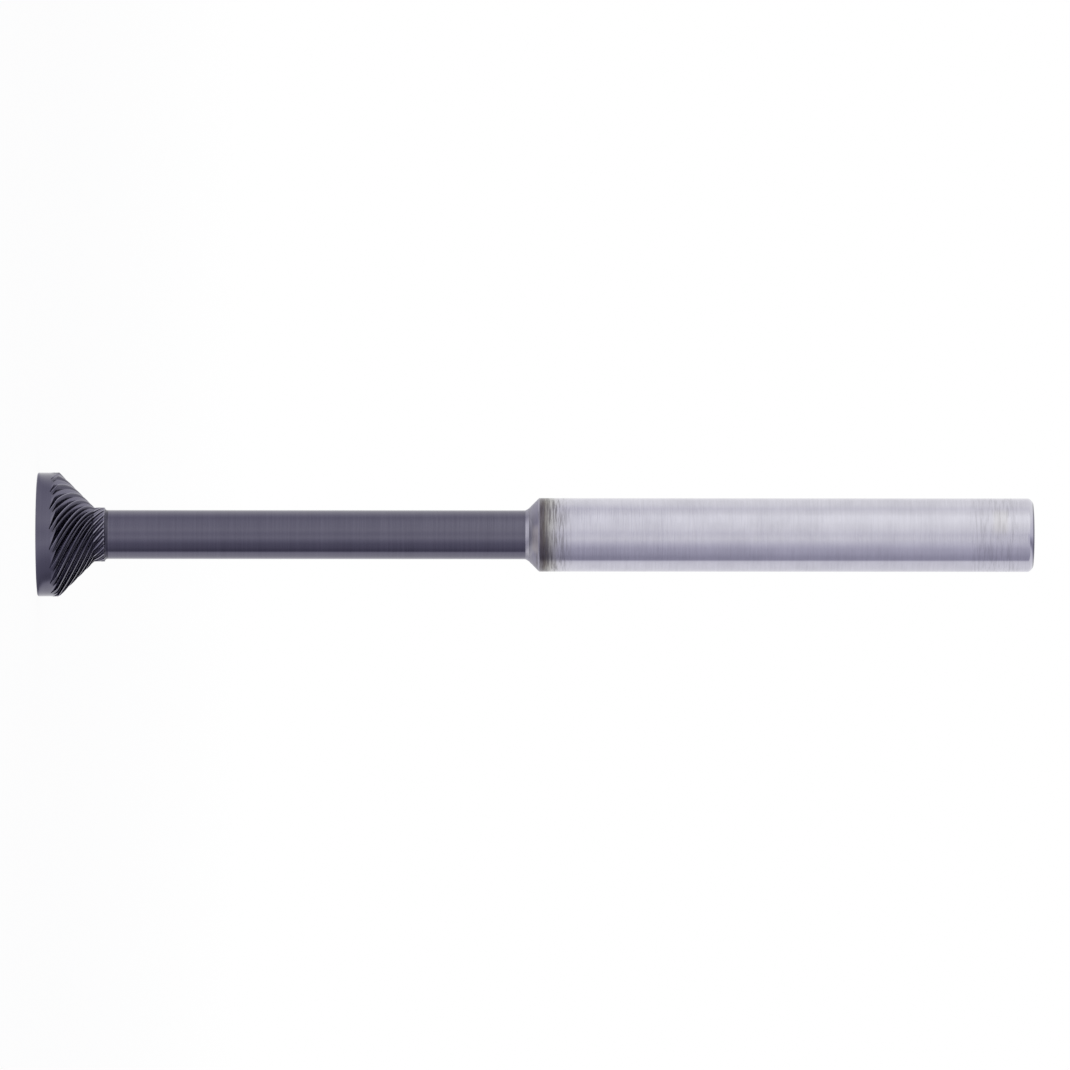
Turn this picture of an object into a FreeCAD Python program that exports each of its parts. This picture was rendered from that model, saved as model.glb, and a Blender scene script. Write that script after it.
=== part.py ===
import FreeCAD, Part
import os
import Sketcher

# A rotary burr for deburring the far edge of a bore: a solid carbide cutter with a
# toothed back taper and a thin neck, brazed into the bore of a plain steel shank.
# Lengths are in millimetres and angles in degrees. The burr stands on its head: the
# origin is the centre of the flat front face and the axis runs up +Z to the shank's end.

doc = FreeCAD.newDocument("rotary_burr")

SIZES = [
    # Head, from the flat front face back to the neck
    ("rim_diameter", 10.1),
    ("rim_height", 1.74),
    ("front_edge_break", 0.08),
    ("back_taper_angle", 45.0),
    ("collar_diameter", 4.4),
    ("collar_height", 0.86),
    ("collar_root_length", 0.24),
    # Teeth: the spiral angles are measured from the straight lines of taper and collar
    ("tooth_count", 19),
    ("first_tooth_angle", -87.1),
    ("taper_spiral_angle", 51.0),
    ("collar_spiral_angle", 50.0),
    # Gullet depths and the grinding overrun are shares of the radius that they lie at
    ("taper_gullet_depth", 0.113),
    ("collar_gullet_depth", 0.086),
    ("grinding_overrun", 0.1),
    # Tooth widths are shares of the pitch, in order from one cutting edge to the next
    ("land_width", 0.25),
    ("groove_floor_width", 0.14),
    ("groove_wall_width", 0.1),
    ("second_land_width", 0.13),
    ("gullet_floor_width", 0.1),
    ("rake_undercut", 0.035),
    # Depths on the tooth's back are shares of the gullet's depth
    ("groove_depth", 0.65),
    ("second_land_drop", 0.13),
    # Neck, and the tail that is held in the shank
    ("neck_diameter", 4.0),
    ("neck_length", 34.58),
    ("tail_length", 12.0),
    ("tail_edge_break", 0.3),
    # Shank
    ("shank_diameter", 6.0),
    ("shank_length", 41.07),
    ("nose_angle", 45.0),
    ("nose_land", 0.12),
    ("shank_end_break", 0.4),
    ("shank_end_crown", 0.12),
    ("bore_point_angle", 118.0),
    # Brazed joint between the tail and the bore
    ("braze_clearance", 0.06),
    ("tail_end_clearance", 0.2),
    ("braze_fillet_height", 0.3),
]

sizes = doc.addObject("Spreadsheet::Sheet", "sizes")
for row, (alias, value) in enumerate(SIZES, start=1):
    sizes.set(f"A{row}", alias)
    sizes.set(f"B{row}", str(value))
    sizes.setAlias(f"B{row}", alias)
doc.recompute()

# Radii, and heights above the front face, worked out from the sizes
RIM_R = "(sizes.rim_diameter / 2)"
COLLAR_R = "(sizes.collar_diameter / 2)"
NECK_R = "(sizes.neck_diameter / 2)"
SHANK_R = "(sizes.shank_diameter / 2)"
BORE_R = f"({NECK_R} + sizes.braze_clearance)"
NOSE_R = f"({BORE_R} + sizes.nose_land)"
END_R = f"({SHANK_R} - sizes.shank_end_break)"
TAPER = "(sizes.back_taper_angle * 1deg)"
TAPER_TOP = f"(sizes.rim_height + ({RIM_R} - {COLLAR_R}) / tan({TAPER}))"
HEAD_TOP = f"({TAPER_TOP} + sizes.collar_height)"
NECK_FOOT = f"({HEAD_TOP} + sizes.collar_root_length)"
SHANK_FRONT = f"({HEAD_TOP} + sizes.neck_length)"
NOSE_TOP = f"({SHANK_FRONT} + ({SHANK_R} - {NOSE_R}) / tan(sizes.nose_angle * 1deg))"
SHANK_END = f"({SHANK_FRONT} + sizes.shank_length)"
TAIL_END = f"({SHANK_FRONT} + sizes.tail_length)"
TAIL_EDGE = f"({TAIL_END} - sizes.tail_edge_break)"
BORE_END = f"({TAIL_END} + sizes.tail_end_clearance)"
BORE_POINT = f"({BORE_END} + {BORE_R} / tan(sizes.bore_point_angle / 2 * 1deg))"

# A side of travel, for the arcs of an outline
LEFT = 1
RIGHT = -1


def base_feature(body, role):
    """One of the body's own base planes or axes."""
    return next(feature for feature in body.Origin.OriginFeatures if feature.Role == role)


def value_of(formula):
    return float(sizes.evalExpression(formula.replace("sizes.", "")))


def flat_sketch(body, name, role):
    """An empty sketch on one of the body's base planes."""
    sketch = body.newObject("Sketcher::SketchObject", name)
    sketch.AttachmentSupport = [(base_feature(body, role), "")]
    sketch.MapMode = "FlatFace"
    sketch.Visibility = False
    return sketch


def bind_point(sketch, edge, end, across, along):
    """Hold one end of an edge at two formulas, where "0" puts it on that axis."""
    for kind, axis, formula in (("DistanceX", -2, across), ("DistanceY", -1, along)):
        if formula == "0":
            sketch.addConstraint(Sketcher.Constraint("PointOnObject", edge, end, axis))
        else:
            constraint = Sketcher.Constraint(kind, -1, 1, edge, end, value_of(formula))
            number = sketch.addConstraint(constraint)
            sketch.setExpression(f"Constraints[{number}]", formula)


def closed_outline(sketch, corners, arcs):
    """Edges from corner to corner. arcs names, by the number of the corner it leaves
    from, each edge that is an arc, with its radius and the side that it bulges to."""
    points = [FreeCAD.Vector(value_of(across), value_of(along), 0) for across, along in corners]
    starts = []
    for number, here in enumerate(points):
        there = points[(number + 1) % len(points)]
        if number in arcs:
            radius, side = arcs[number]
            half = (there - here) * 0.5
            outward = FreeCAD.Vector(-half.y, half.x, 0).normalize() * side
            rise = value_of(radius) - (value_of(radius) ** 2 - half.Length ** 2) ** 0.5
            sketch.addGeometry(Part.Arc(here, here + half + outward * rise, there), False)
            # a sketch keeps every arc anticlockwise, so one that bulges left is reversed
            starts.append(2 if side == LEFT else 1)
        else:
            sketch.addGeometry(Part.LineSegment(here, there), False)
            starts.append(1)
    for number, corner in enumerate(corners):
        after = (number + 1) % len(corners)
        joint = Sketcher.Constraint("Coincident", number, 3 - starts[number], after, starts[after])
        sketch.addConstraint(joint)
        bind_point(sketch, number, starts[number], *corner)
    for number, (radius, side) in arcs.items():
        constraint = sketch.addConstraint(Sketcher.Constraint("Radius", number, value_of(radius)))
        sketch.setExpression(f"Constraints[{constraint}]", radius)


def turned_body(name, corners, arcs):
    """A body turned about the axis from half of its section, as (radius, height)."""
    body = doc.addObject("PartDesign::Body", name)
    section = flat_sketch(body, f"{name}_section", "XZ_Plane")
    closed_outline(section, corners, arcs)
    turned = body.newObject("PartDesign::Revolution", f"{name}_turned")
    turned.Profile = section
    turned.ReferenceAxis = (section, ["V_Axis"])
    turned.Angle = 360
    doc.recompute()
    return body


# Carbide cutter: head, collar, neck and tail are ground from one rod

cutter = turned_body(
    "carbide_cutter",
    [
        ("0", "0"),
        (f"{RIM_R} - sizes.front_edge_break", "0"),
        (RIM_R, "sizes.front_edge_break"),
        (RIM_R, "sizes.rim_height"),
        (COLLAR_R, TAPER_TOP),
        (COLLAR_R, HEAD_TOP),
        (NECK_R, NECK_FOOT),
        (NECK_R, TAIL_EDGE),
        (f"{NECK_R} - sizes.tail_edge_break", TAIL_END),
        ("0", TAIL_END),
    ],
    {5: (f"hypot({COLLAR_R} - {NECK_R}; sizes.collar_root_length)", LEFT)},
)

# Teeth. On the taper the gullets run as a conical spiral, which crosses every straight
# line of the taper at one angle, so equal steps of turn go with equal ratios of radius.
# It runs on past the taper's wide end, where the gullets come out through the rim.
PITCH = "(360deg / round(sizes.tooth_count))"
TAPER_TURN = f"(log({RIM_R} / {COLLAR_R}) * tan(sizes.taper_spiral_angle * 1deg) / sin({TAPER}) * 1rad)"
COLLAR_REACH = f"({NECK_FOOT} - {TAPER_TOP})"
COLLAR_TURN = f"({COLLAR_REACH} / {COLLAR_R} * tan(sizes.collar_spiral_angle * 1deg) * 1rad)"

# Stations along a gullet, as shares of the taper and then of the collar and its root;
# the first lies beyond the rim and the last beyond the root, clear of the carbide
TAPER_STATIONS = [-0.2] + [step / 8 for step in range(9)]
COLLAR_STATIONS = [0.5, 1.1]


def gullet_section(name, radius, height, turn, depth):
    """What the wheel takes out between two cutting edges, square to the axis.

    The cutting edge is at angle 0 and its rake face leans back over the gullet's floor.
    From the floor the back of the tooth ahead climbs to that tooth's second land, drops
    into a narrow groove and stands up straight to its first land, which stays whole.
    """
    sketch = flat_sketch(cutter, name, "XY_Plane")
    upright = FreeCAD.Rotation(FreeCAD.Vector(0, 0, 1), 1)
    sketch.AttachmentOffset = FreeCAD.Placement(FreeCAD.Vector(0, 0, 0), upright)
    sketch.setExpression("AttachmentOffset.Base.z", height)
    sketch.setExpression("AttachmentOffset.Rotation.Angle", turn)
    clear = "(1 + sizes.grinding_overrun)"
    floor = f"(1 - {depth})"
    second_land = f"(1 - {depth} * sizes.second_land_drop)"
    groove_floor = f"(1 - {depth} * sizes.groove_depth)"
    land_edge = "(sizes.land_width - 1)"
    groove_foot = f"({land_edge} + sizes.groove_floor_width)"
    second_edge = f"({groove_foot} + sizes.groove_wall_width)"
    corners = [(f"{radius} * {clear}", "0")]
    for share, reach in [
        ("sizes.rake_undercut", floor),
        ("-sizes.gullet_floor_width", floor),
        (f"({second_edge} + sizes.second_land_width)", second_land),
        (second_edge, second_land),
        (groove_foot, groove_floor),
        (land_edge, groove_floor),
        (land_edge, clear),
    ]:
        angle = f"({share} * {PITCH})"
        corners.append((f"{radius} * {reach} * cos{angle}", f"{radius} * {reach} * sin{angle}"))
    closed_outline(sketch, corners, {})
    return sketch


gullet_sections = []
for station in TAPER_STATIONS:
    radius = f"({RIM_R} * ({COLLAR_R} / {RIM_R}) ^ ({station}))"
    height = f"sizes.rim_height + ({RIM_R} - {radius}) / tan({TAPER})"
    turn = f"sizes.first_tooth_angle * 1deg - {station} * {TAPER_TURN}"
    name = f"gullet_section_{len(gullet_sections)}"
    gullet_sections.append(gullet_section(name, radius, height, turn, "sizes.taper_gullet_depth"))
for station in COLLAR_STATIONS:
    height = f"{TAPER_TOP} + {station} * {COLLAR_REACH}"
    turn = f"sizes.first_tooth_angle * 1deg - {TAPER_TURN} - {station} * {COLLAR_TURN}"
    name = f"gullet_section_{len(gullet_sections)}"
    gullet_sections.append(gullet_section(name, COLLAR_R, height, turn, "sizes.collar_gullet_depth"))

# Straight-ruled from section to section, because a smooth loft overshoots where the
# taper gives way to the collar
gullet = cutter.newObject("PartDesign::SubtractiveLoft", "gullet")
gullet.Profile = (gullet_sections[0], [""])
gullet.Sections = [(section, [""]) for section in gullet_sections[1:]]
gullet.Ruled = True
gullet.Refine = False

teeth = cutter.newObject("PartDesign::PolarPattern", "teeth")
teeth.Originals = [gullet]
teeth.Axis = (base_feature(cutter, "Z_Axis"), [""])
teeth.Angle = 360
teeth.Refine = False
teeth.setExpression("Occurrences", "sizes.tooth_count")
cutter.Tip = teeth
doc.recompute()

# Steel shank: coned nose round the bore's mouth, blind drilled bore, slightly crowned end

shank = turned_body(
    "steel_shank",
    [
        (BORE_R, SHANK_FRONT),
        (NOSE_R, SHANK_FRONT),
        (SHANK_R, NOSE_TOP),
        (SHANK_R, f"{SHANK_END} - sizes.shank_end_break"),
        (END_R, SHANK_END),
        ("0", f"{SHANK_END} + sizes.shank_end_crown"),
        ("0", BORE_POINT),
        (BORE_R, BORE_END),
    ],
    {4: (f"({END_R} ^ 2 + sizes.shank_end_crown ^ 2) / (2 * sizes.shank_end_crown)", RIGHT)},
)

# Braze: a film that fills the bore round the tail, and a hollow fillet at its mouth

braze = turned_body(
    "braze_joint",
    [
        (NECK_R, f"{SHANK_FRONT} - sizes.braze_fillet_height"),
        (NOSE_R, SHANK_FRONT),
        (BORE_R, SHANK_FRONT),
        (BORE_R, TAIL_EDGE),
        (NECK_R, TAIL_EDGE),
    ],
    {0: (f"hypot({NOSE_R} - {NECK_R}; sizes.braze_fillet_height)", LEFT)},
)

pieces = [cutter, shank, braze]

for item in doc.Objects:
    if "Invalid" in item.State or "Error" in item.State:
        raise RuntimeError(f"{item.Name} did not build: {item.State}")
for piece in pieces:
    if piece.Shape.isNull() or not piece.Shape.isValid():
        raise RuntimeError(f"{piece.Label} is not a valid solid")
    if len(piece.Shape.Solids) != 1:
        raise RuntimeError(f"{piece.Label} has {len(piece.Shape.Solids)} solids")

os.makedirs("parts", exist_ok=True)
for piece in pieces:
    piece.Shape.exportStep(f"parts/{piece.Label}.step")
    box = piece.Shape.BoundBox
    print(
        f"{piece.Label}: volume {piece.Shape.Volume:.3f} mm3,"
        f" across {box.XLength:.3f} mm, from {box.ZMin:.3f} to {box.ZMax:.3f} mm"
    )
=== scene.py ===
# %% [markdown]
# # A rotary burr
# This is a deburring cutter: a carbide head with spiral teeth on its back taper, a thin
# neck, and a plain steel shank that the neck is brazed into. The solids come ready made
# in a fixed frame, in metres, with the burr standing on its flat front face and its axis
# up +Z. What is left to do here is what the eye sees: true round surfaces, sharp teeth,
# ground metal, the heat tint beside the joint and a studio to see them in.

# %% Load the frame
import math
import bpy
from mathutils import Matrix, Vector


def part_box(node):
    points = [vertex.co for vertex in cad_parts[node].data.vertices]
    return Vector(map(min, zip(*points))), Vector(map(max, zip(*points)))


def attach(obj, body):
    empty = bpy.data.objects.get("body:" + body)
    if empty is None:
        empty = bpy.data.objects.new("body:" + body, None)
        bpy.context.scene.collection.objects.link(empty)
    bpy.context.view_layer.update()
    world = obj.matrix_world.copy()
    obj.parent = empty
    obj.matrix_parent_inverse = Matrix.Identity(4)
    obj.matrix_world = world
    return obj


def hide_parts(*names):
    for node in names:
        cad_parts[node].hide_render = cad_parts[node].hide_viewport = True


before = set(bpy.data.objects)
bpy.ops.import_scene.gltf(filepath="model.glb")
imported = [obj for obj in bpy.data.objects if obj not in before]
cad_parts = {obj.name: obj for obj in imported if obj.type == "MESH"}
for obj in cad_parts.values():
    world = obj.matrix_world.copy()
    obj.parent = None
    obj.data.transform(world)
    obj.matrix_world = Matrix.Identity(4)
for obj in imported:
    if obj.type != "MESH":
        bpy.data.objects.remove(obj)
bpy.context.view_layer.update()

MM = 0.001

# %% [markdown]
# ## Sizes
# Every size is read from the solids where they have it: the box of the cutter gives the
# rim, and the box of the shank gives its diameter, its front and its end. The few sizes
# that a box cannot tell, such as where the taper ends, are named here in millimetres.

# %% Sizes of the three pieces
cutter_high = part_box("carbide_cutter")[1]
shank_low, shank_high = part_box("steel_shank")
RIM_R = cutter_high[1]
TAIL_END = cutter_high[2]
SHANK_R = shank_high[1]
SHANK_FRONT = shank_low[2]
SHANK_TOP = shank_high[2]

RIM_HEIGHT = 1.74 * MM
FRONT_BREAK = 0.08 * MM
COLLAR_R = 2.2 * MM
COLLAR_HEIGHT = 0.86 * MM
COLLAR_ROOT = 0.24 * MM
NECK_R = 2.0 * MM
TAIL_BREAK = 0.3 * MM
BORE_R = 2.06 * MM
NOSE_LAND = 0.12 * MM
END_BREAK = 0.4 * MM
END_CROWN = 0.12 * MM
BRAZE_FILLET = 0.30 * MM
TAPER_TOP = RIM_HEIGHT + RIM_R - COLLAR_R
HEAD_TOP = TAPER_TOP + COLLAR_HEIGHT
NOSE_R = BORE_R + NOSE_LAND
NOSE_TOP = SHANK_FRONT + SHANK_R - NOSE_R
print("head", round(HEAD_TOP / MM, 2), "mm high, shank from", round(SHANK_FRONT / MM, 2), "mm")

# %% [markdown]
# ## Camera
# The photograph looks square on to the burr, which lies across the picture with its head
# at the left. Here the burr stands up, so the camera is level, looks along +Y and is
# rolled a quarter turn, which puts +Z to the right. The near side of the rim bulges a
# little to the left and that of the shank's end to the right, which fixes the distance.

# %% Camera
PHOTO_PX = 1070
PX_PER_MM = 12.27
FACE_PX = 38.0
AXIS_PX_AT_HEAD = 534.45
AXIS_PX_AT_END = 535.2
CAMERA_DISTANCE = 0.896
SENSOR_MM = 36.0
NEAREST_SEEN = 0.01

mid_height = (PHOTO_PX / 2 - FACE_PX) / PX_PER_MM * MM
axis_drop = ((AXIS_PX_AT_HEAD + AXIS_PX_AT_END) / 2 - PHOTO_PX / 2) / PX_PER_MM * MM
roll = (AXIS_PX_AT_END - AXIS_PX_AT_HEAD) / (SHANK_TOP / MM * PX_PER_MM)
bpy.ops.object.camera_add(location=(-axis_drop, -CAMERA_DISTANCE, mid_height))
camera = bpy.context.object
camera.name = "camera"
camera.rotation_euler = (math.pi / 2, 0, 0)
camera.rotation_euler.rotate_axis("Z", math.pi / 2 + roll)
camera.data.sensor_width = SENSOR_MM
camera.data.lens = SENSOR_MM * CAMERA_DISTANCE / (PHOTO_PX / PX_PER_MM * MM)
camera.data.clip_start = NEAREST_SEEN
bpy.context.scene.camera = camera
print("lens", round(camera.data.lens, 1), "mm, looking at height", round(mid_height / MM, 2), "mm")

# %% [markdown]
# ## Turned shapes
# The rim, neck and shank are ground round between centres. They could be spun from a
# half outline, but a lathe works the other way, and so does this: a circle is laid at
# the first height, and its ring of edges is pulled up and sized again at each height
# where the outline changes. A polished surface shows every flat, so the rings have many
# sides, and corners get their small edge break from a bevel that only takes sharp edges.

# %% Turning a piece through the stops of its outline
SIDES = 360
# smooth shading bends the normals next to a corner, so a ring this far from each corner
# keeps the long round walls between them true
EDGE_RUN = 0.15 * MM


def select_only(piece):
    if bpy.context.mode != "OBJECT":
        bpy.ops.object.mode_set(mode="OBJECT")
    bpy.ops.object.select_all(action="DESELECT")
    piece.select_set(True)
    bpy.context.view_layer.objects.active = piece


def start_ring(name, radius, height):
    """A filled circle at its height, open in edit mode with all of it selected."""
    bpy.ops.object.select_all(action="DESELECT")
    bpy.ops.mesh.primitive_circle_add(
        vertices=SIDES, radius=radius, fill_type="NGON", location=(0, 0, height)
    )
    piece = bpy.context.object
    piece.name = name
    bpy.ops.object.mode_set(mode="EDIT")
    bpy.ops.mesh.select_all(action="SELECT")
    return piece


def pull_ring(rise, grow, turn=0.0, top=0.0):
    """Pull the selected face up, then size and turn it about the axis at its new height."""
    bpy.ops.mesh.extrude_region_move(TRANSFORM_OT_translate={"value": (0, 0, rise)})
    bpy.ops.transform.resize(value=(grow, grow, 1), center_override=(0, 0, top))
    if turn:
        bpy.ops.transform.rotate(value=turn, orient_axis="Z", center_override=(0, 0, top))


def close_piece(piece):
    """Turn the faces outwards and put the piece's place into its mesh."""
    bpy.ops.mesh.select_all(action="SELECT")
    bpy.ops.mesh.normals_make_consistent(inside=False)
    bpy.ops.object.mode_set(mode="OBJECT")
    select_only(piece)
    bpy.ops.object.transform_apply(location=True, rotation=True, scale=True)


def turned(name, stops):
    """A closed round piece through (radius, height) stops."""
    radius, height = stops[0]
    piece = start_ring(name, radius, height)
    for next_radius, next_height in stops[1:]:
        pull_ring(next_height - height, next_radius / radius, top=next_height)
        radius, height = next_radius, next_height
    close_piece(piece)
    return piece


# %% Finishing with modifiers
BREAK_SEGMENTS = 3


def apply_modifiers(piece):
    select_only(piece)
    for modifier in list(piece.modifiers):
        bpy.ops.object.modifier_apply(modifier=modifier.name)


def break_edges(piece, width, sharper_than):
    bevel = piece.modifiers.new("edge_break", "BEVEL")
    bevel.width = width
    bevel.segments = BREAK_SEGMENTS
    bevel.limit_method = "ANGLE"
    bevel.angle_limit = math.radians(sharper_than)
    apply_modifiers(piece)


def smooth_by_angle(piece, degrees):
    select_only(piece)
    bpy.ops.object.shade_smooth_by_angle(angle=math.radians(degrees))


def report(piece):
    triangles = sum(len(polygon.vertices) - 2 for polygon in piece.data.polygons)
    print(piece.name, "has", triangles, "triangles")


# %% [markdown]
# ## The shank
# A plain ground pin with a 45 degree nose round the bore. At the collet end its edge is
# softly broken, and the face is very slightly crowned by the cut-off wheel. A bevel could
# round that edge, but four short steps in the outline give its true curve without bending
# the light on the walls beside it. The bore is closed by the neck and the braze, so only
# its mouth has to be there.

# %% The steel shank
BORE_SHOWN = 1.0 * MM
CROWN_RINGS = 8
END_R = SHANK_R - END_BREAK
GROUND_EDGE = 0.04 * MM
# degrees that each short step of the broken edge leans from the wall towards the face
EDGE_SLOPES = [28.1, 39.4, 50.6, 61.9]
EDGE_STEP = END_BREAK / sum(math.sin(math.radians(slope)) for slope in EDGE_SLOPES)
end_height = SHANK_TOP - END_CROWN


def edge_stops():
    """The broken edge: four short steps that turn evenly from the wall towards the face."""
    stops = []
    radius, height = SHANK_R, end_height - END_BREAK
    for slope in EDGE_SLOPES:
        radius -= EDGE_STEP * math.sin(math.radians(slope))
        height += EDGE_STEP * math.cos(math.radians(slope))
        stops.append((radius, height))
    return stops


def crown_stops():
    shares = [1 - ring / (CROWN_RINGS + 1) for ring in range(1, CROWN_RINGS + 1)]
    return [(END_R * share, end_height + END_CROWN * (1 - share ** 2)) for share in shares]


shank = turned(
    "shank_ground",
    [(BORE_R, SHANK_FRONT + BORE_SHOWN), (BORE_R, SHANK_FRONT), (NOSE_R, SHANK_FRONT)]
    + [(SHANK_R, NOSE_TOP), (SHANK_R, NOSE_TOP + EDGE_RUN)]
    + [(SHANK_R, end_height - END_BREAK - EDGE_RUN), (SHANK_R, end_height - END_BREAK)]
    + edge_stops()
    + crown_stops(),
)
break_edges(shank, GROUND_EDGE, sharper_than=15)
smooth_by_angle(shank, 30)
report(shank)

# %% [markdown]
# ## The braze fillet
# Silver braze creeps up the neck by capillary pull and sets as a ring between the neck and
# the nose of the shank. On this burr the ring is only slightly hollow, so its outline
# nearly carries on the line of the nose. A bevel between two pieces would melt them into
# one, so the ring is a closed piece of its own, turned in the same way.

# %% The braze joint
FILLET_RINGS = 10
FILM_SHOWN = 0.9 * MM
FILM_OVERLAP = 0.01 * MM
FILM_R = NECK_R - FILM_OVERLAP
# 1 would be a straight cone, and a higher power is more hollow
HOLLOW_POWER = 1.25


def fillet_stops():
    stops = []
    for ring in range(FILLET_RINGS + 1):
        share = ring / FILLET_RINGS
        radius = NECK_R + (NOSE_R - NECK_R) * share ** HOLLOW_POWER
        height = SHANK_FRONT - BRAZE_FILLET * (1 - share)
        stops.append((radius, height))
    return stops


braze = turned(
    "braze_fillet",
    [(FILM_R, SHANK_FRONT + FILM_SHOWN), (FILM_R, SHANK_FRONT - BRAZE_FILLET)]
    + fillet_stops()
    + [(BORE_R, SHANK_FRONT), (BORE_R, SHANK_FRONT + FILM_SHOWN)],
)
smooth_by_angle(braze, 50)
report(braze)

# %% [markdown]
# ## The cutter's blank
# The carbide is ground to its outline before it gets any teeth: the rim, the 45 degree
# back taper, the short collar behind it, a small root radius, and the long thin neck.

# %% The blank
ROOT_RINGS = 6


def root_stops():
    stops = []
    for ring in range(1, ROOT_RINGS + 1):
        angle = ring / ROOT_RINGS * math.pi / 2
        radius = COLLAR_R - (COLLAR_R - NECK_R) * math.sin(angle)
        stops.append((radius, HEAD_TOP + COLLAR_ROOT * (1 - math.cos(angle))))
    return stops


cutter = turned(
    "cutter_ground",
    [(RIM_R - FRONT_BREAK, 0.0), (RIM_R, FRONT_BREAK), (RIM_R, RIM_HEIGHT)]
    + [(COLLAR_R, TAPER_TOP), (COLLAR_R, HEAD_TOP)]
    + root_stops()
    + [(NECK_R, HEAD_TOP + COLLAR_ROOT + EDGE_RUN)]
    + [(NECK_R, TAIL_END - TAIL_BREAK), (NECK_R - TAIL_BREAK, TAIL_END)],
)

# %% [markdown]
# ## The teeth
# The teeth are what a wheel leaves standing when it grinds spiral gullets into the back
# taper. Modelling them the same way gives their true shape: one solid has the form of the
# metal that the wheel takes out, and a boolean takes it out of the blank nineteen times.
# Its section is drawn once, by pushing a point from corner to corner, and is then pulled
# up the taper, shrinking and turning as it rises, so that the tooth keeps its proportions
# from the rim to the collar. Going round from one cutting edge there is a flat land, a
# narrow groove, a second lower edge, and then the long back of the tooth, which falls
# away to the foot of the next tooth's face.

# %% The section of a gullet
TEETH = 19
PITCH = 2 * math.pi / TEETH
FIRST_TOOTH = math.radians(-87.07)
TAPER_SPIRAL = math.radians(51)
COLLAR_SPIRAL = math.radians(50)
# the depth of a gullet and the outer side of its section, as shares of the radius
GULLET_DEPTH = 0.113
COLLAR_DEPTH = 0.085
OUTSIDE = 1.12
# share of the pitch back from the cutting edge, and share of the gullet's depth
TOOTH_FACE = [(0.03, 0.93), (0.015, 0.98), (-0.02, 1.0)]
TOOTH_BACK = [(-0.07, 0.98), (-0.12, 0.9), (-0.30, 0.51), (-0.42, 0.25)]
SECOND_LAND = [(-0.47, 0.13), (-0.50, 0.12), (-0.515, 0.16)]
NARROW_GROOVE = [(-0.55, 0.4), (-0.59, 0.64), (-0.64, 0.68), (-0.69, 0.6)]
LAND_BACK = [(-0.74, 0.3), (-0.775, 0.12), (-0.81, 0.04), (-0.86, -0.02)]
LAND_EDGE = (-0.862, OUTSIDE)


def section_corners(radius):
    """The gullet's section at a radius, as (x, y), starting and ending outside the blank."""
    polar = [(0.0, OUTSIDE)]
    for share, drop in TOOTH_FACE + TOOTH_BACK + SECOND_LAND + NARROW_GROOVE + LAND_BACK:
        polar.append((share * PITCH, 1 - GULLET_DEPTH * drop))
    polar.append((LAND_EDGE[0] * PITCH, LAND_EDGE[1]))
    corners = []
    for turn, reach in polar:
        corners.append((radius * reach * math.cos(turn), radius * reach * math.sin(turn)))
    return corners


def draw_section(name, corners, height):
    """Push one point from corner to corner, then fill the closed line."""
    bpy.ops.object.select_all(action="DESELECT")
    first_x, first_y = corners[0]
    bpy.ops.mesh.primitive_plane_add(size=MM, location=(first_x, first_y, height))
    piece = bpy.context.object
    piece.name = name
    bpy.ops.object.mode_set(mode="EDIT")
    bpy.ops.mesh.select_mode(type="VERT")
    bpy.ops.mesh.select_all(action="SELECT")
    bpy.ops.mesh.merge(type="CENTER")
    last_x, last_y = first_x, first_y
    for next_x, next_y in corners[1:]:
        step = (next_x - last_x, next_y - last_y, 0)
        bpy.ops.mesh.extrude_region_move(TRANSFORM_OT_translate={"value": step})
        last_x, last_y = next_x, next_y
    bpy.ops.mesh.select_all(action="SELECT")
    bpy.ops.mesh.edge_face_add()
    return piece


# %% The path up the taper
# the wheel starts this share of the taper's length before the rim, and runs out past the collar
BELOW_RIM = 0.2
RUN_OUT = 1.15
TAPER_STEPS = 60
COLLAR_STEPS = 12
TAPER_RATIO = COLLAR_R / RIM_R
TAPER_TURN = math.log(1 / TAPER_RATIO) * math.tan(TAPER_SPIRAL) * math.sqrt(2)
COLLAR_RISE = RUN_OUT * (COLLAR_HEIGHT + COLLAR_ROOT)
COLLAR_LIFT = (1 - COLLAR_DEPTH) / (1 - GULLET_DEPTH)


def taper_station(share):
    """Radius, height and turn at a share of the way up the taper."""
    radius = RIM_R * TAPER_RATIO ** share
    return radius, RIM_HEIGHT + RIM_R - radius, FIRST_TOOTH - share * TAPER_TURN


def collar_station(share):
    """The same at a share of the way up the collar, where the gullets get shallower."""
    rise = share * COLLAR_RISE
    lift = 1 + (COLLAR_LIFT - 1) * min(1, 2 * share)
    turn = FIRST_TOOTH - TAPER_TURN - rise / COLLAR_R * math.tan(COLLAR_SPIRAL)
    return COLLAR_R * lift, TAPER_TOP + rise, turn


shares = [-BELOW_RIM + (1 + BELOW_RIM) * step / TAPER_STEPS for step in range(TAPER_STEPS + 1)]
stations = [taper_station(share) for share in shares]
stations += [collar_station(step / COLLAR_STEPS) for step in range(1, COLLAR_STEPS + 1)]

# %% One gullet, pulled up its path
first_radius, first_height, first_turn = stations[0]
gullet = draw_section("gullet", section_corners(first_radius), first_height)
bpy.ops.mesh.select_all(action="SELECT")
centre = (0, 0, first_height)
# with no window, rotate turns clockwise for a positive value
bpy.ops.transform.rotate(value=-first_turn, orient_axis="Z", center_override=centre)
radius, height, turn = stations[0]
for next_radius, next_height, next_turn in stations[1:]:
    pull_ring(next_height - height, next_radius / radius, turn - next_turn, next_height)
    radius, height, turn = next_radius, next_height, next_turn
close_piece(gullet)
print("gullet from", round(first_height / MM, 2), "to", round(height / MM, 2), "mm")

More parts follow.
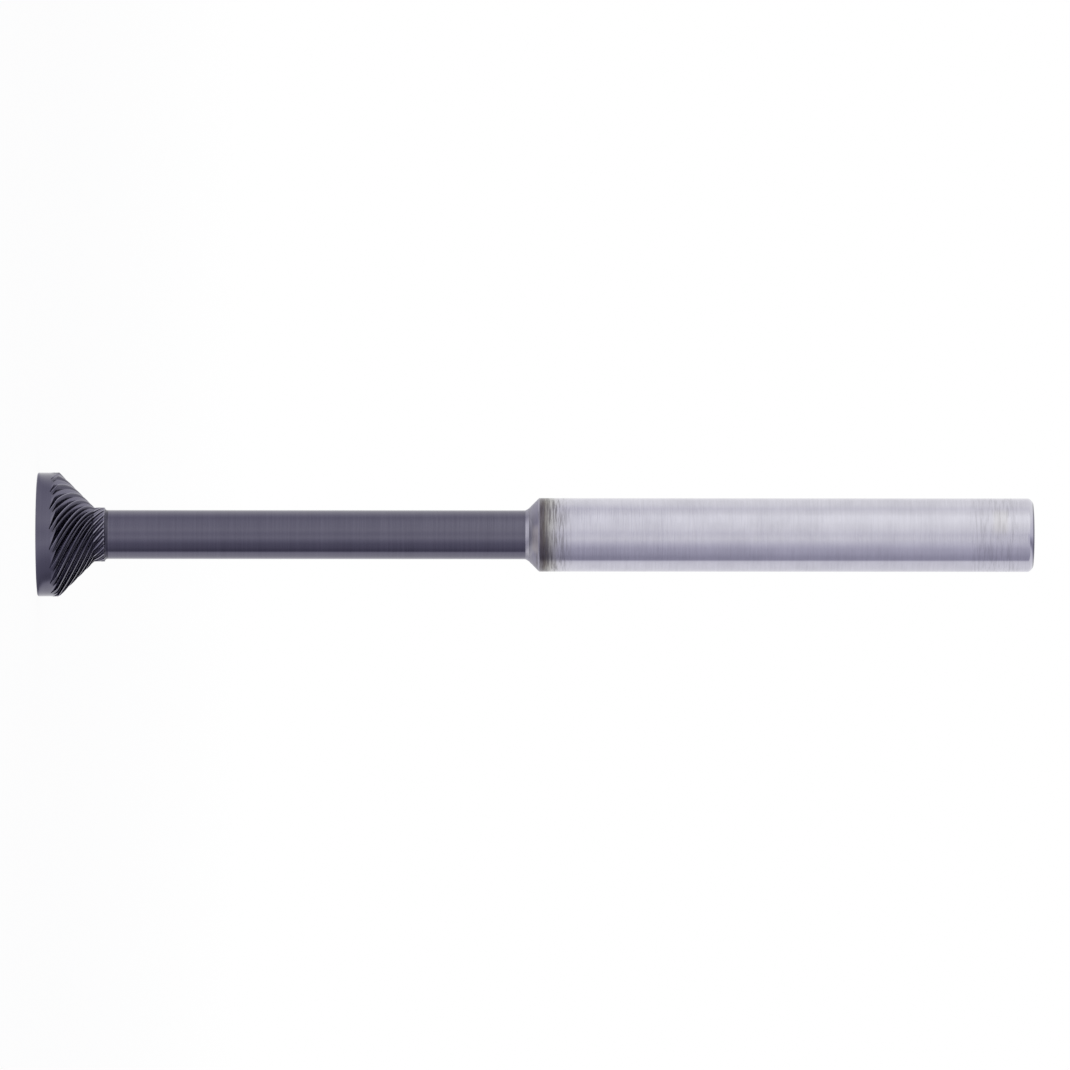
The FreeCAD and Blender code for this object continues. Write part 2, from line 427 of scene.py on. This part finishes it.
# %% Nineteen gullets in one cut
gullets = [gullet]
for tooth in range(1, TEETH):
    select_only(gullet)
    bpy.ops.object.duplicate(linked=False)
    copy = bpy.context.object
    copy.rotation_euler.z = tooth * PITCH
    bpy.ops.object.transform_apply(location=False, rotation=True, scale=False)
    gullets.append(copy)
select_only(gullet)
for copy in gullets:
    copy.select_set(True)
bpy.ops.object.join()
cut = cutter.modifiers.new("ground_gullets", "BOOLEAN")
cut.operation = "DIFFERENCE"
cut.solver = "EXACT"
cut.object = gullet
apply_modifiers(cutter)
bpy.data.objects.remove(gullet)
smooth_by_angle(cutter, 25)
report(cutter)

# %% [markdown]
# ## Writing shader maths
# A material's maths is easier to read as a sum than as a list of nodes. One small class
# wraps a node's output: adding or multiplying two of them adds the Math node, and one
# method adds any other node from its settings and its inputs.

# %% A wire between shader nodes
class Wire:
    def __init__(self, tree, socket=None):
        self.tree = tree
        self.socket = socket

    def node(self, kind, settings=None, inputs=None, output=0):
        """Add a node: its settings first, then a value or a wire for each named input."""
        made = self.tree.nodes.new(kind)
        for name, setting in (settings or {}).items():
            if name == "stops":
                fill_ramp(made.color_ramp, setting)
            else:
                setattr(made, name, setting)
        for name, value in (inputs or {}).items():
            if isinstance(value, Wire):
                self.tree.links.new(value.socket, made.inputs[name])
            else:
                made.inputs[name].default_value = value
        return Wire(self.tree, made.outputs[output])

    def maths(self, operation, *values):
        return self.node("ShaderNodeMath", {"operation": operation}, dict(enumerate(values)))

    def __add__(self, other):
        return self.maths("ADD", self, other)

    def __sub__(self, other):
        return self.maths("SUBTRACT", self, other)

    def __rsub__(self, other):
        return self.maths("SUBTRACT", other, self)

    def __mul__(self, other):
        return self.maths("MULTIPLY", self, other)

    def __truediv__(self, other):
        return self.maths("DIVIDE", self, other)

    __radd__ = __add__
    __rmul__ = __mul__

    def part(self, axis):
        return self.node("ShaderNodeSeparateXYZ", None, {0: self}, axis)

    def band(self, low, high, fade):
        """1 between low and high, falling to 0 over the fade outside them."""
        rise = {"Value": self, "From Min": low - fade, "From Max": low}
        fall = {"Value": self, "From Min": high + fade, "From Max": high}
        smooth = {"interpolation_type": "SMOOTHSTEP"}
        rising = self.node("ShaderNodeMapRange", smooth, rise)
        return rising * self.node("ShaderNodeMapRange", smooth, fall)

    def mixed(self, first, second):
        """Blend two colours by this factor."""
        colours = {"data_type": "RGBA"}
        return self.node("ShaderNodeMix", colours, {0: self, 6: first, 7: second}, 2)


def fill_ramp(ramp, stops):
    ramp.elements[0].position, ramp.elements[0].color = stops[0]
    ramp.elements[1].position, ramp.elements[1].color = stops[-1]
    for position, colour in stops[1:-1]:
        ramp.elements.new(position).color = colour


# %% A metal's shader, and what all ground metal has
def rgb(red, green, blue):
    return (red, green, blue, 1.0)


def metal_shader(name):
    """A new metal material, its Wire and its shader node."""
    material = bpy.data.materials.new(name)
    material.use_nodes = True
    shader = material.node_tree.nodes["Principled BSDF"]
    shader.inputs["Metallic"].default_value = 1.0
    return material, Wire(material.node_tree), shader


def feed(wire, shader, name):
    wire.tree.links.new(wire.socket, shader.inputs[name])


def relief(height, depth, shader):
    """Fine relief of this depth where the height runs from 0 to 1."""
    inputs = {"Strength": 1.0, "Distance": depth, "Height": height}
    feed(height.node("ShaderNodeBump", None, inputs), shader, "Normal")


def finish_piece(piece, material):
    piece.data.materials.append(material)
    print(piece.name, "is finished in", material.name, "of", len(material.node_tree.nodes), "nodes")


def object_place(start):
    return start.node("ShaderNodeTexCoord", output="Object")


def side_angle(place):
    """Radians round the axis, 0 on the camera's side and rising towards +X."""
    return place.maths("ARCTAN2", place.part(0), 0 - place.part(1))


def grinding_lines(place, around, along, detail):
    """Noise drawn out into fine lines that run round the axis, 0 to 1."""
    scale = (around, around, along)
    stretched = place.node("ShaderNodeMapping", None, {"Vector": place, "Scale": scale})
    noise = {"Vector": stretched, "Scale": 1.0, "Detail": detail, "Roughness": 0.6}
    return place.node("ShaderNodeTexNoise", None, noise)


# %% [markdown]
# ## Ground carbide
# Sintered carbide is nearly black next to steel, with a cold violet cast, and comes off
# the wheel with fine lines round the axis. It reflects about a sixth of the light, so a
# metal shader with a dark colour is the right start, kept smooth enough that the edge of
# the studio's light stays crisp in the neck. The lines vary its colour, gloss and relief.
# The teeth need one thing more, which is painted light: a thin painted highlight along
# each cutting edge, painted shade on the land behind it, and a paler painted reflection on
# the long back of the tooth. The shader finds them by running the spiral backwards, from a
# point's height and angle to its share of the way from one cutting edge to the next.

# %% Where a point lies between two cutting edges
def tooth_share(start, place):
    """0 at a cutting edge, rising to 1 at the next one round."""
    height = place.part(2)
    cone = start.maths("MAXIMUM", RIM_HEIGHT + RIM_R - height, COLLAR_R)
    turn_per_log = -TAPER_TURN / math.log(1 / TAPER_RATIO)
    on_taper = start.maths("LOGARITHM", cone / RIM_R, math.e) * turn_per_log
    past_taper = start.maths("MAXIMUM", height - TAPER_TOP, 0.0)
    on_collar = past_taper * (math.tan(COLLAR_SPIRAL) / COLLAR_R)
    angle = start.maths("ARCTAN2", place.part(1), place.part(0))
    return start.maths("FRACT", (angle - FIRST_TOOTH + on_taper + on_collar) / PITCH + TEETH)


# %% The carbide
carbide, start, shader = metal_shader("ground_carbide")
place = object_place(start)
fine = grinding_lines(place, around=120.0, along=5200.0, detail=2.0)
broad = grinding_lines(place, around=60.0, along=420.0, detail=3.0)
wear = (fine - 0.5) * 0.5 + (broad - 0.5) * 0.5
tone = (0.5 + wear).mixed(rgb(0.118, 0.113, 0.150), rgb(0.192, 0.184, 0.236))
height = place.part(2)

# %% The teeth's painted light and shade
GULLETS_START = 1.3 * MM
share = tooth_share(start, place)
toothed = height.band(GULLETS_START, HEAD_TOP, 0.12 * MM)
# painted shade on the land behind each cutting edge
painted_land_shade = toothed * share.band(0.09, 0.24, 0.06)
tone = (painted_land_shade * 0.45).mixed(tone, rgb(0.05, 0.047, 0.065))
# a paler painted reflection on the long back of each tooth
painted_back_reflection = toothed * share.band(0.56, 0.94, 0.05)
tone = (painted_back_reflection * 0.6).mixed(tone, rgb(0.24, 0.23, 0.285))
# a thin painted highlight along each cutting edge
painted_edge_highlight = toothed * share.band(-0.01, 0.035, 0.05)
tone = (painted_edge_highlight * 0.75).mixed(tone, rgb(0.38, 0.37, 0.45))
# painted highlight on the lands of the collar
painted_collar_highlight = height.band(TAPER_TOP + 0.1 * MM, HEAD_TOP, 0.15 * MM)
painted_collar_highlight = painted_collar_highlight * share.band(0.0, 0.14, 0.04)
tone = (painted_collar_highlight * 0.8).mixed(tone, rgb(0.42, 0.41, 0.48))
# painted shade in the small root behind the collar
root = height.band(HEAD_TOP + 0.03 * MM, HEAD_TOP + 0.28 * MM, 0.05 * MM)
tone = (root * 0.75).mixed(tone, rgb(0.035, 0.033, 0.05))
# the edge of the collar catches the light
collar_edge = height.band(HEAD_TOP - 0.05 * MM, HEAD_TOP, 0.02 * MM)
tone = (collar_edge * 0.5).mixed(tone, rgb(0.40, 0.39, 0.45))
feed(tone, shader, "Base Color")
feed(0.11 + (fine - 0.5) * 0.07 + (broad - 0.5) * 0.06 + toothed * 0.14, shader, "Roughness")
CARBIDE_LINE_DEPTH = 0.0015 * MM
relief(fine, CARBIDE_LINE_DEPTH, shader)
finish_piece(cutter, carbide)

# %% [markdown]
# ## Ground steel with its heat tint
# The shank is centreless ground, so it is bright with fine lines round it. Brazing heats
# its nose, and the steel oxidises in rings: dark brown next to the joint, then olive and
# straw, fading within a few millimetres. A ramp along the axis gives the rings, and the
# lines of the grinding break them up, because the oxide shows most in the scratches.

# %% The steel
steel, start, shader = metal_shader("ground_steel")
place = object_place(start)
fine = grinding_lines(place, around=150.0, along=6500.0, detail=2.0)
broad = grinding_lines(place, around=90.0, along=700.0, detail=3.0)
broken = grinding_lines(place, around=560.0, along=6800.0, detail=3.0)
mottle = start.node("ShaderNodeTexNoise", None, {"Vector": place, "Scale": 420.0, "Detail": 3.0})
height = place.part(2)
lines = (fine - 0.5) * 0.5 + (broken - 0.5) * 0.5 + (mottle - 0.5) * 0.9 + 0.5
bright = lines.mixed(rgb(0.50, 0.49, 0.55), rgb(0.68, 0.67, 0.74))

# %% Heat tint beside the joint
TINT_LENGTH = 3.6 * MM
wander = (broad - 0.5) * 0.14 + (broken - 0.5) * 0.26 + (mottle - 0.5) * 0.10
angle = side_angle(place)
creep = angle.band(0.25, 0.9, 0.3) * 0.035
from_nose = (height - NOSE_TOP) / TINT_LENGTH + wander - creep
TINT = [
    (0.0, rgb(0.17, 0.155, 0.17)),
    (0.085, rgb(0.115, 0.098, 0.105)),
    (0.13, rgb(0.14, 0.125, 0.12)),
    (0.17, rgb(0.23, 0.215, 0.205)),
    (0.23, rgb(0.37, 0.36, 0.345)),
    (0.33, rgb(0.50, 0.49, 0.49)),
    (0.45, rgb(0.57, 0.56, 0.60)),
    (1.0, rgb(0.60, 0.59, 0.65)),
]
oxide = start.node("ShaderNodeValToRGB", {"stops": TINT}, {"Fac": from_nose})

# %% How far the tint reaches
on_shank = start.node(
    "ShaderNodeMapRange",
    None,
    {"Value": height, "From Min": NOSE_TOP, "From Max": NOSE_TOP + 0.04 * MM},
)
fading = 1 - start.node(
    "ShaderNodeMapRange",
    {"interpolation_type": "SMOOTHSTEP"},
    {"Value": height, "From Min": NOSE_TOP + 0.4 * MM, "From Max": NOSE_TOP + TINT_LENGTH},
)
strength = on_shank * fading * (0.75 + broad * 0.5)
print("heat tint from", round(NOSE_TOP / MM, 2), "mm over", round(TINT_LENGTH / MM, 2), "mm")

# %% The cone of the nose
# the cone itself was wiped with flux and stays a dull lilac, paler where the braze ran up it
cone_tone = mottle.mixed(rgb(0.24, 0.23, 0.29), rgb(0.34, 0.325, 0.40))
run_up = height.band(SHANK_FRONT + 0.2 * MM, NOSE_TOP - 0.1 * MM, 0.08 * MM)
run_up = run_up * angle.band(-0.1, 0.4, 0.3)
cone_tone = (run_up * 0.6).mixed(cone_tone, rgb(0.62, 0.58, 0.56))
# painted highlight along the edge between cone and shank
painted_nose_highlight = height.band(NOSE_TOP - 0.06 * MM, NOSE_TOP, 0.02 * MM)
cone_tone = (painted_nose_highlight * 0.4).mixed(cone_tone, rgb(0.6, 0.58, 0.62))
# the braze wets the inner part of the cone, further out on one side
reach = 0.04 * MM + angle.band(-0.30, 0.60, 0.45) * (0.26 * MM)
wetted = start.node(
    "ShaderNodeMapRange", None, {"Value": reach - (height - SHANK_FRONT), "From Max": 0.05 * MM}
)
cone_tone = (wetted * 0.7).mixed(cone_tone, rgb(0.40, 0.39, 0.44))
steel_tone = on_shank.mixed(cone_tone, strength.mixed(bright, oxide))

# %% [markdown]
# ## The end of the shank
# A collet grips the last stretch of the shank. It leaves a dull, faintly yellow place on
# one side and a few scratches, and the cut-off face has a dark edge. Grooves this fine are
# narrower than a pixel, so they are painted: a band of heights, a band of angles and the
# grinding lines themselves say where each tone lies.

# %% Marks near the end of the shank
GRIP_FROM = 78.0 * MM
GRIP_TO = 78.7 * MM
WORN_FROM = 76.6 * MM
WORN_TO = 79.2 * MM
gripped = height.band(GRIP_FROM, GRIP_TO, 0.5 * MM) * angle.band(-0.6, -0.2, 0.3)
steel_tone = (gripped * 0.3).mixed(steel_tone, rgb(0.62, 0.60, 0.56))
from_axis = start.maths("SQRT", place.part(0) * place.part(0) + place.part(1) * place.part(1))
face_edge = height.band(end_height - 0.09 * MM, SHANK_TOP, 0.04 * MM)
face_edge = face_edge * from_axis.band(END_R - 0.15 * MM, SHANK_R, 0.25 * MM)
steel_tone = (face_edge * 0.8).mixed(steel_tone, rgb(0.10, 0.095, 0.12))
# near both ends single scratches of the wheel show, dark with oxide
hollows = {"Value": broken, "From Min": 0.36, "From Max": 0.52}
scratch = 1 - start.node("ShaderNodeMapRange", None, hollows)
near_nose = height.band(NOSE_TOP + 0.3 * MM, NOSE_TOP + 1.2 * MM, 1.8 * MM)
near_end = height.band(WORN_FROM, WORN_TO, 1.0 * MM)
scratched = scratch * (near_nose * 0.7 + near_end * 0.2) * (0.4 + mottle * 1.2)
steel_tone = scratched.mixed(steel_tone, rgb(0.18, 0.17, 0.18))
feed(steel_tone, shader, "Base Color")
on_cone = 1 - on_shank
feed(0.11 + (fine - 0.5) * 0.08 + strength * 0.15 + on_cone * 0.33, shader, "Roughness")
STEEL_LINE_DEPTH = 0.002 * MM
relief(fine * 0.5 + broken * 0.5, STEEL_LINE_DEPTH, shader)
finish_piece(shank, steel)

# %% [markdown]
# ## Silver braze
# Braze that has set in air is a dull grey metal with a soft ripple. Its side towards the
# camera gets a paler painted highlight, so a band of angles mixes the two tones, and one
# noise gives the ripple to the colour, the gloss and the relief alike.

# %% The braze
filler, start, shader = metal_shader("silver_braze")
place = object_place(start)
ripple = start.node("ShaderNodeTexNoise", None, {"Vector": place, "Scale": 1500.0, "Detail": 2.0})
pale = ripple.mixed(rgb(0.50, 0.49, 0.54), rgb(0.68, 0.66, 0.71))
dull = ripple.mixed(rgb(0.24, 0.23, 0.29), rgb(0.34, 0.33, 0.39))
# the side towards the camera gets a paler painted highlight
painted_braze_highlight = side_angle(place).band(-0.35, 0.6, 0.5)
feed(painted_braze_highlight.mixed(dull, pale), shader, "Base Color")
feed(0.32 + ripple * 0.14, shader, "Roughness")
RIPPLE_DEPTH = 0.02 * MM
relief(ripple, RIPPLE_DEPTH, shader)
finish_piece(braze, filler)

# %% [markdown]
# ## Studio
# The burr was photographed on white in soft light. Round metal mirrors the room as
# stripes along its length, so the stripes say where the light came from: white behind the
# burr on both sides, a soft lamp high at one side towards the camera, and the grey of the
# room elsewhere. A ramp round the vertical paints that. The upper part of the burr mirrors
# the room and the lower part the floor, so each has a ramp of its own.

# %% Light from round about
# degrees from the camera's side towards +X, and the light that comes from there
ROOM_LIGHT = [
    (-180, 1.0), (-108, 1.0), (-90, 0.92), (-72, 1.04), (-59, 1.17), (-44, 1.15), (-30, 1.05),
    (-6, 0.94), (12, 1.0), (20, 0.90), (32, 0.71), (45, 0.58), (59, 0.52), (73, 0.43), (86, 0.41),
    (92, 0.84), (110, 0.9), (180, 0.95),
]
FLOOR_LIGHT = [
    (-180, 1.1), (-120, 1.0), (-102, 0.76), (-88, 0.60), (-64, 0.68), (-40, 0.72), (-22, 0.81),
    (-5, 0.66), (14, 0.76), (24, 0.62), (43, 0.39), (64, 0.32), (78, 0.23), (86, 0.28),
    (92, 0.78), (104, 0.95), (180, 1.1),
]
# the end of the shank mirrors a slightly higher part of the room, which is dimmer in front
END_LIGHT = ROOM_LIGHT[:7] + [(-8, 0.86), (-1, 0.70), (19, 0.72)] + ROOM_LIGHT[10:]


def cool_light(level):
    """Grey light is a little blue, white light is not."""
    return rgb(level, level * (1 - 0.04 * (1 - level)), level * (1 + 0.35 * (1 - min(level, 1))))


def light_round(start, place, levels):
    """The light from the side that a place lies on, seen from the burr's axis."""
    stops = [(degrees / 360 + 0.5, cool_light(level)) for degrees, level in levels]
    around = side_angle(place) / (2 * math.pi) + 0.5
    return start.node("ShaderNodeValToRGB", {"stops": stops}, {"Fac": around})


# %% The floor
# it is all white from FADE_TO outwards, and closer in it lets a little shadow through
FLOOR_RADIUS = 0.7
FADE_FROM = 0.06
FADE_TO = 0.6
WHITE_NEAR_BURR = 0.93
bpy.ops.object.select_all(action="DESELECT")
bpy.ops.mesh.primitive_circle_add(vertices=96, radius=FLOOR_RADIUS, fill_type="NGON")
floor = bpy.context.object
floor.name = "floor"
floor_paint = bpy.data.materials.new("pale_floor")
floor_paint.use_nodes = True
floor_paint.node_tree.nodes.clear()
start = Wire(floor_paint.node_tree)
seen = start.node("ShaderNodeLightPath", output="Is Camera Ray")
mirrored = start.node("ShaderNodeLightPath", output="Is Glossy Ray")
passed = start.node("ShaderNodeLightPath", output="Is Transmission Ray")
place = object_place(start)
away = start.node("ShaderNodeVectorMath", {"operation": "LENGTH"}, {0: place}, "Value")
fading_out = {"Value": away, "From Min": FADE_FROM, "From Max": FADE_TO}
fade = start.node("ShaderNodeMapRange", None, fading_out)
white_share = (seen + mirrored + passed) * (WHITE_NEAR_BURR + fade * (1 - WHITE_NEAR_BURR))
chalk = start.node("ShaderNodeBsdfDiffuse", None, {"Color": rgb(0.9, 0.9, 0.9)})
mirror_light = light_round(start, place, FLOOR_LIGHT)
glow = start.node("ShaderNodeEmission", None, {"Color": mirrored.mixed(rgb(1, 1, 1), mirror_light)})
blend = start.node("ShaderNodeMixShader", None, {0: white_share, 1: chalk, 2: glow})
output = floor_paint.node_tree.nodes.new("ShaderNodeOutputMaterial")
feed(blend, output, "Surface")
finish_piece(floor, floor_paint)

# %% The world
world = bpy.data.worlds.new("studio")
bpy.context.scene.world = world
world.use_nodes = True
world.node_tree.nodes.clear()
start = Wire(world.node_tree)
direction = start.node("ShaderNodeTexCoord", output="Generated")
# directions with this much rise see the ceiling instead of the walls
steep = start.node(
    "ShaderNodeMapRange",
    {"interpolation_type": "SMOOTHSTEP"},
    {"Value": start.maths("ABSOLUTE", direction.part(2)), "From Min": 0.5, "From Max": 0.9},
)
# across the ceiling from -X to +X, with a dark strip on the +X side of the burr
CEILING_LIGHT = [
    (0.0, 1.0), (0.15, 0.95), (0.25, 0.85), (0.36, 0.78), (0.5, 0.7), (0.58, 0.5), (0.7, 0.3),
    (0.78, 0.42), (0.84, 0.7), (1.0, 0.8),
]
ceiling = start.node(
    "ShaderNodeValToRGB",
    {"stops": [(share, cool_light(level)) for share, level in CEILING_LIGHT]},
    {"Fac": direction.part(0) * 0.7 + 0.5},
)
rise = direction.part(2)
# the room lies above the horizon, and only the last few millimetres mirror the higher part
HORIZON = {"Value": rise, "From Min": -0.001, "From Max": 0.002}
HIGHER_PART = {"Value": rise, "From Min": 0.0395, "From Max": 0.042}
above = start.node("ShaderNodeMapRange", None, HORIZON)
higher = start.node("ShaderNodeMapRange", None, HIGHER_PART)
lower_room = light_round(start, direction, ROOM_LIGHT)
room_light = higher.mixed(lower_room, light_round(start, direction, END_LIGHT))
level_light = above.mixed(light_round(start, direction, FLOOR_LIGHT), room_light)
room = steep.mixed(level_light, ceiling)
# the background is plain white, seen straight or through glass
seen = start.node("ShaderNodeLightPath", output="Is Camera Ray")
seen = seen + start.node("ShaderNodeLightPath", output="Is Transmission Ray")
sky = start.node("ShaderNodeBackground", None, {"Color": seen.mixed(room, rgb(1, 1, 1))})
output = world.node_tree.nodes.new("ShaderNodeOutputWorld")
feed(sky, output, "Surface")
bpy.context.scene.view_settings.view_transform = "Standard"
print("the studio has", len(world.node_tree.nodes), "nodes")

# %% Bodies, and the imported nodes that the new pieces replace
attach(cutter, "root")
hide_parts("carbide_cutter")
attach(shank, "root")
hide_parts("steel_shank")
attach(braze, "root")
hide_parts("braze_joint")
